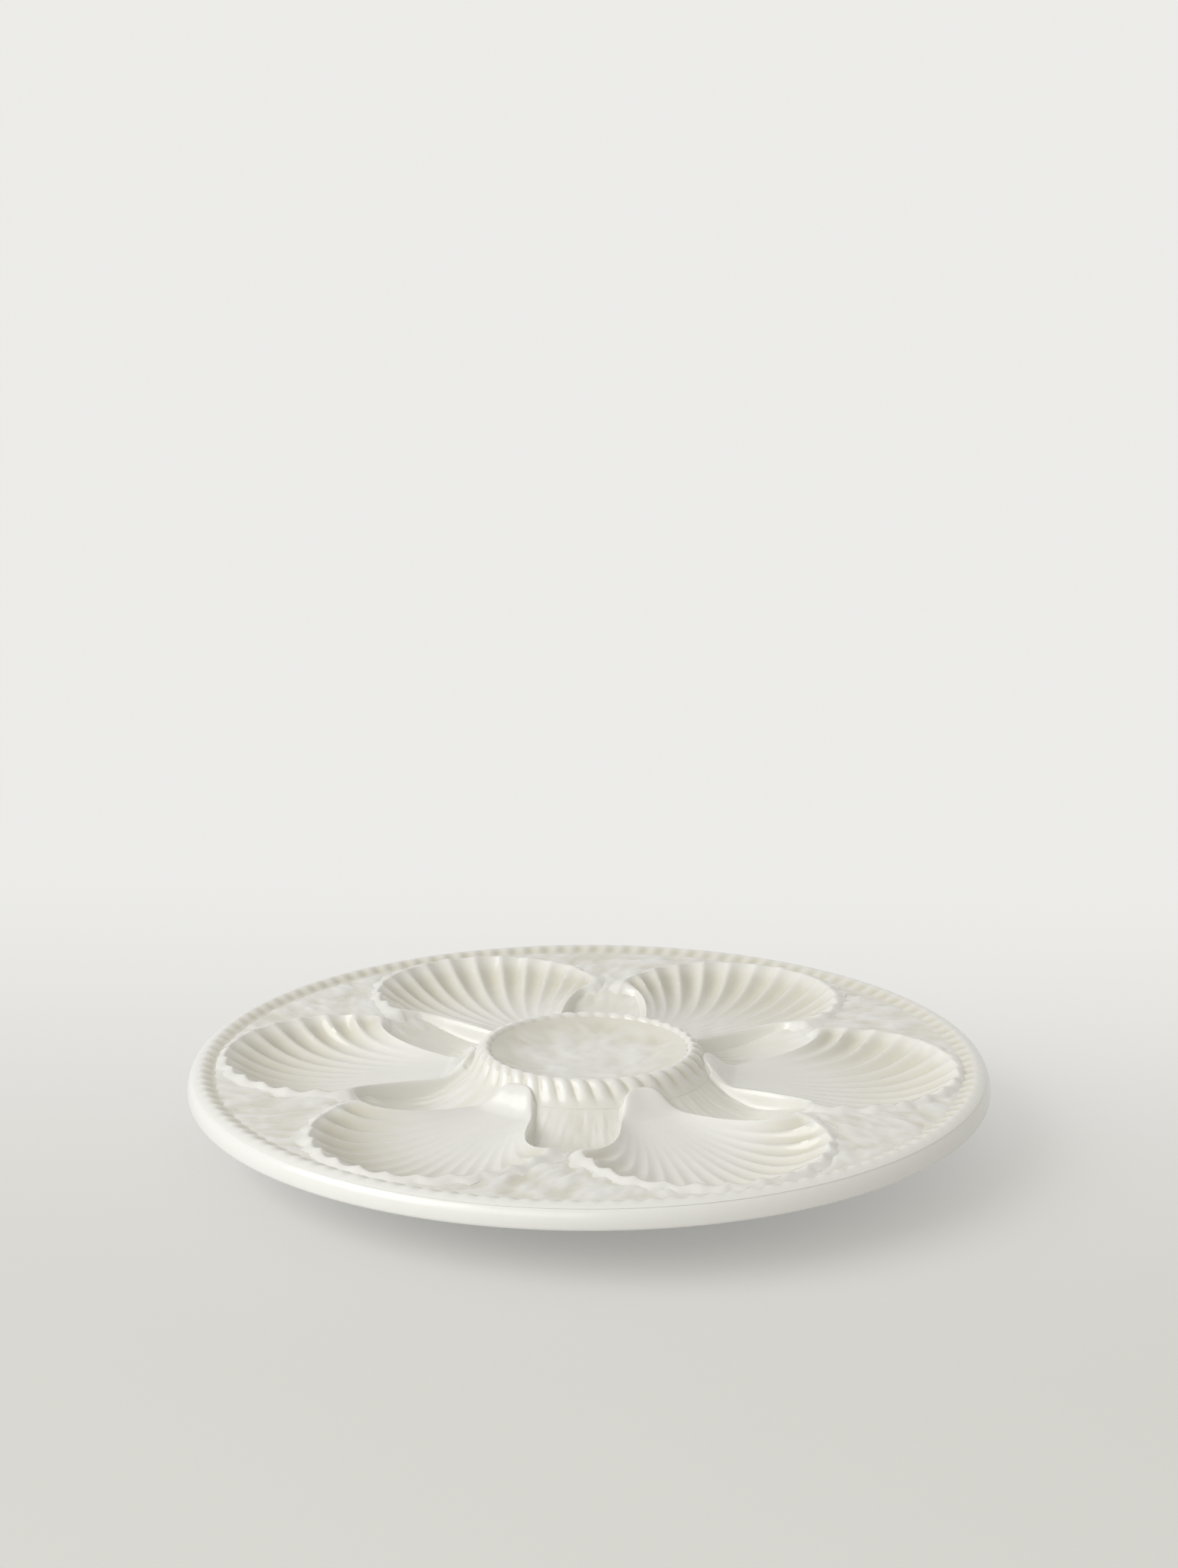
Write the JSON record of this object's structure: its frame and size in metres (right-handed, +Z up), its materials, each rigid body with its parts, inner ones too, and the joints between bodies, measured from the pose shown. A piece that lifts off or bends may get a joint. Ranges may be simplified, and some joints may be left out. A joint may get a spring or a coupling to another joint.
{
  "type": "oyster plate",
  "caption": "Round glazed ceramic oyster plate with fluted scallop-shaped wells round a raised sauce dish, rope mouldings and a foot ring.",
  "frame": {"origin": "centre of the foot ring's flat, on the table", "axes": "+Z up out of the plate's face, +X along the middle of shell_1, +Y to the left of it"},
  "size_m": [0.25, 0.25, 0.0292],
  "materials": {
    "glaze": "glossy white glaze, pooling warm grey in the hollows"
  },
  "bodies": {
    "root": {"plate_body": "glaze", "foot_ring": "glaze", "centre_dish": "glaze", "centre_rope": "glaze", "rim_rope": "glaze", "shell_1": "glaze", "shell_2": "glaze", "shell_3": "glaze", "shell_4": "glaze", "shell_5": "glaze", "shell_6": "glaze"}
  },
  "joints": []
}
